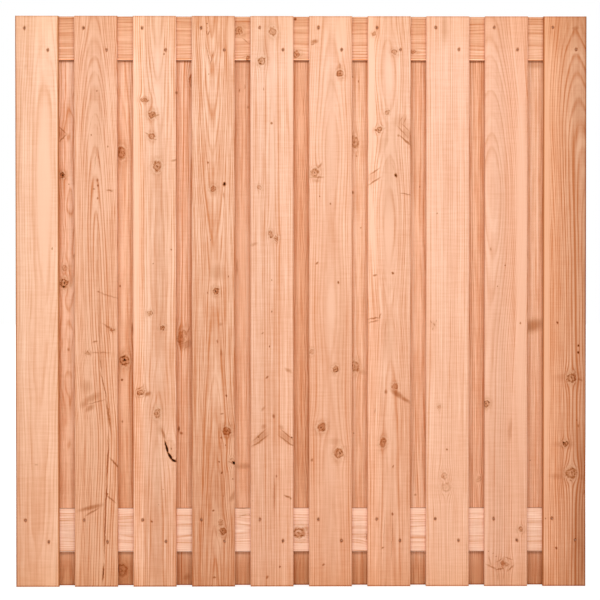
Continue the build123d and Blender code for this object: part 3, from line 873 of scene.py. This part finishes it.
def holeShape(a, s):
    # 1 inside a slanting oval
    x, y = a - fallenKnot["across"], s - fallenKnot["along"]
    c, d = math.cos(math.radians(fallenKnot["turn"])), math.sin(math.radians(fallenKnot["turn"]))
    wide, tall = fallenKnot["halfSize"]
    return np.clip((1 - np.hypot((x * c - y * d) / wide, (x * d + y * c) / tall)) * 4, 0, 1)


looseKnot["shape"] = crackShape
fallenKnot["shape"] = holeShape

# the dark ring and the split that each sunk nail leaves: half width, half height, darkness
nailStain = {"ring": (1.35, 1.9, 0.9), "split": (0.4, 2.6, 0.45)}


def stained(centre, nails):
    marks = []
    for a, s in nails:
        x = photo["middleX"] + (centre + a) / photo["mmPerPixel"]
        y = photo["footY"] - s / photo["mmPerPixel"]
        marks += [(x, y, wide, tall, 0, depth) for wide, tall, depth in nailStain.values()]
    return marks


def middleOf(node):
    return (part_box(node)[0][0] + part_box(node)[1][0]) * 500


boardHalf = (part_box("front_board_01")[1][0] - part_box("front_board_01")[0][0]) * 500
frontNodes = [f"front_board_{i + 1:02d}" for i in range(len(frontBoards))]
backNodes = [f"back_board_{i + 1:02d}" for i in range(len(backBoards))]

for number, (node, looks) in enumerate(zip(frontNodes, frontBoards), start=1):
    centre = middleOf(node)
    nails = [place for where in railMiddles for place in nailPlaces(where, centre, 1)]
    looks["faceOut"] = 24.0
    looks["flecks"] = looks["flecks"] + stained(centre, nails)
    pits = [pit for pit in (looseKnot, fallenKnot) if pit["board"] == number]
    material = woodMaterial(f"front board {number} wood", looks, True, centre, boardHalf)
    woodPiece(node, True, -1, stock["boardEdge"], nails, pits, looks["bow"], looks["cup"], material)
print("front boards:", len(frontBoards))

# what all the back boards share: painted shade below the bottom rail, crisp fibres and painted shade beside the front
# boards and the painted shadow line below the top rail, as y and the rest of a fleck
railShadowLine = {"y": 60.6, "shape": (30, 0.9, 0, 0.3)}
behind = {"underRailShade": 0.7, "crisp": 1.4, "shade": 1.0}
for number, (node, looks) in enumerate(zip(backNodes, backBoards), start=1):
    centre = middleOf(node)
    nails = [place for where in railMiddles for place in nailPlaces(where, centre, -1)]
    looks["faceOut"] = -8.0
    looks.update(behind)
    looks["joint"] = (photo["middleX"] + centre / photo["mmPerPixel"], railShadowLine["y"], *railShadowLine["shape"])
    material = woodMaterial(f"back board {number} wood", looks, True, centre, boardHalf)
    woodPiece(node, True, 1, stock["boardEdge"], nails, [], 0.4, 0.3, material)
print("back boards:", len(backBoards))

for where, looks in rails.items():
    node = f"{where}_rail"
    half = (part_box(node)[1][2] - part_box(node)[0][2]) * 500
    looks["faceOut"] = 8.0
    material = woodMaterial(f"{where} rail wood", looks, False, railMiddles[where], half)
    woodPiece(node, False, -1, stock["railEdge"], [], [], 0.0, 0.0, material)
print("rails:", len(rails))

# steel nails, sunk below the boards' faces, in millimetres
nailShape = {
    "head": 3.0, "rim": 0.35, "crown": 0.12, "thick": 1.2, "shank": 1.35, "fillet": 0.3, "neck": 1.0,
    "sunk": 0.8, "reach": 29.5, "point": 4.5, "sides": 20, "face": 24.0,
}
nailFinish = {
    "bright": (196, 142, 108), "rusty": (96, 54, 34), "grain": 0.002, "metal": 0.12, "gloss": 0.15,
    "roughness": 0.4, "roughnessRange": 0.3,
}


def nailGroup(node, side, where, boards):
    # a profile of radius against depth, turned about the nail's axis and repeated at each place
    k = nailShape
    top, under = -k["sunk"], -k["sunk"] - k["thick"]
    profile = np.array([
        (0.0, top + k["crown"]),
        (k["head"] * 0.5, top + k["crown"] * 0.8),
        (k["head"] - k["rim"], top),
        (k["head"], top - k["rim"]),
        (k["head"], under + 0.1),
        (k["head"] - 0.15, under),
        (k["shank"] + k["fillet"], under - k["fillet"]),
        (k["shank"], under - k["neck"]),
        (k["shank"], k["point"] - k["reach"]),
        (0.0, -k["reach"]),
    ])
    angle = np.arange(k["sides"]) * 2 * np.pi / k["sides"]
    radius, level = profile[1:-1].T[:, :, None]
    rings = np.stack([radius * np.cos(angle), level + 0 * angle, radius * np.sin(angle)], 2).reshape(-1, 3)
    poles = np.array([(0.0, profile[0, 1], 0.0), (0.0, profile[-1, 1], 0.0)])
    shape = np.concatenate([rings, poles]) * np.array([1.0, side, 1.0])
    places = [(middleOf(b) + a, side * k["face"], s) for b in boards for a, s in nailPlaces(where, middleOf(b), -side)]
    points = (np.array(places)[:, None] + shape).reshape(-1, 3)
    step, count = k["sides"], len(profile) - 2
    rows, cols = np.meshgrid(np.arange(count - 1) * step, np.arange(step), indexing="ij")
    after = (cols + 1) % step
    sides = np.stack([rows + cols, rows + after, rows + step + after, rows + step + cols], 2).reshape(-1, 4)
    pairs = np.arange(0, step, 2)
    last = (count - 1) * step
    head, tip = np.full(len(pairs), len(rings)), np.full(len(pairs), len(rings) + 1)
    crown = np.stack([pairs, head, (pairs + 2) % step, pairs + 1], 1)
    point = np.stack([last + pairs, last + pairs + 1, last + (pairs + 2) % step, tip], 1)
    one = np.concatenate([sides, crown, point])
    quads = (np.arange(len(places))[:, None, None] * len(shape) + one).reshape(-1, 4)
    piece = surface(node + "_steel", points, quads, None)
    piece.data.materials.append(nailSteel)
    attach(piece, "root")
    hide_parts(node)


nailSteel = bpy.data.materials.new("dull nail steel")
nailSteel.use_nodes = True
steelTree = nailSteel.node_tree
steelShader = steelTree.nodes["Principled BSDF"]
steelSpot = Wire(steelTree).put("ShaderNodeTexCoord", {}, {}, "Object").moved(Scale=(nailFinish["grain"],) * 3)
grime = steelSpot.noise(3.0, 0.6)
steelColour = steelSpot.put("ShaderNodeMix", {"data_type": "RGBA"}, {
    0: grime.ramp((0.35, 0.0), (0.65, 1.0)), 6: linearColour(nailFinish["bright"]), 7: linearColour(nailFinish["rusty"])}, 2)
steelTree.links.new(steelColour.socket, steelShader.inputs["Base Color"])
steelRough = nailFinish["roughness"] + grime * nailFinish["roughnessRange"]
steelTree.links.new(steelRough.socket, steelShader.inputs["Roughness"])
steelShader.inputs["Metallic"].default_value = nailFinish["metal"]
steelShader.inputs["Specular IOR Level"].default_value = nailFinish["gloss"]

for where in railMiddles:
    nailGroup(f"front_nails_{where}_rail", -1, where, frontNodes)
    nailGroup(f"back_nails_{where}_rail", 1, where, backNodes)
print("nails:", 4 * (len(frontNodes) + len(backNodes)))

# floor, light and camera
studio = {
    "floorGrey": 0.45,
    "floorGlow": 0.75,
    "fillLevel": 0.41,
    "lamps": {  # watts, place, size
        "key": (134.5, (0.0, -4.4, 3.1), (6.0, 1.4)),
        "front": (74.5, (0.0, -4.8, 0.5), (5.0, 0.8)),
        "back": (140.0, (0.0, 4.8, 2.6), (6.0, 1.4)),
    },
    "lampAim": (0.0, 0.0, 0.9),
    "cameraPlace": (-0.077, -6.5, 1.007),
    "cameraYaw": 0.646,
    "cameraPitch": -0.895,
    "lens": 123.17,
}


def seenDirectly(begin):  # 1 for what the camera, a reflection or glass sees
    path = begin.put("ShaderNodeLightPath", {}, {})
    names = ("Is Camera Ray", "Is Glossy Ray", "Is Transmission Ray")
    return joined([Wire(begin.tree, path.socket.node.outputs[name]) for name in names])


floorMesh = bpy.data.meshes.new("studio floor")
floorMesh.from_pydata([(-30, -30, 0), (30, -30, 0), (30, 30, 0), (-30, 30, 0)], [], [(0, 1, 2, 3)])
floor = bpy.data.objects.new("studio_floor", floorMesh)
bpy.context.scene.collection.objects.link(floor)
floorPaint = bpy.data.materials.new("pale floor")
floorPaint.use_nodes = True
floorTree = floorPaint.node_tree
floorTree.nodes.clear()
begin = Wire(floorTree)
plain = begin.put("ShaderNodeBsdfDiffuse", {}, {"Color": (studio["floorGrey"],) * 3 + (1,)})
spread = begin.put("ShaderNodeTexCoord", {}, {}, "Object").vector("LENGTH", out=1)
glow = spread.fade(1.0, 3.5, studio["floorGlow"], 1.0)
bright = begin.put("ShaderNodeEmission", {}, {"Color": (1, 1, 1, 1), "Strength": glow})
lit = begin.put("ShaderNodeAddShader", {}, {0: plain, 1: bright})
both = begin.put("ShaderNodeMixShader", {}, {0: seenDirectly(begin), 1: plain, 2: lit})
floorTree.links.new(both.socket, floorTree.nodes.new("ShaderNodeOutputMaterial").inputs["Surface"])
floorMesh.materials.append(floorPaint)

world = bpy.data.worlds.new("soft room")
bpy.context.scene.world = world
world.use_nodes = True
worldTree = world.node_tree
worldTree.nodes.clear()
begin = Wire(worldTree)
strength = seenDirectly(begin) * (1.0 - studio["fillLevel"]) + studio["fillLevel"]
sky = begin.put("ShaderNodeBackground", {}, {"Color": (1, 1, 1, 1), "Strength": strength})
worldTree.links.new(sky.socket, worldTree.nodes.new("ShaderNodeOutputWorld").inputs["Surface"])

for name, (watts, place, size) in studio["lamps"].items():
    light = bpy.data.lights.new(name, "AREA")
    light.shape = "RECTANGLE"
    light.size, light.size_y = size
    light.energy = watts
    lamp = bpy.data.objects.new(name, light)
    lamp.location = place
    aim = Vector(studio["lampAim"]) - Vector(place)
    lamp.rotation_euler = aim.to_track_quat("-Z", "Y").to_euler()
    bpy.context.scene.collection.objects.link(lamp)

lens = bpy.data.cameras.new("view")
lens.lens = studio["lens"]
lens.sensor_width = 36
camera = bpy.data.objects.new("view", lens)
camera.location = studio["cameraPlace"]
camera.rotation_euler = (math.radians(90 + studio["cameraPitch"]), 0, -math.radians(studio["cameraYaw"]))
bpy.context.scene.collection.objects.link(camera)
bpy.context.scene.camera = camera
bpy.context.scene.view_settings.view_transform = "Standard"
print("studio ready")
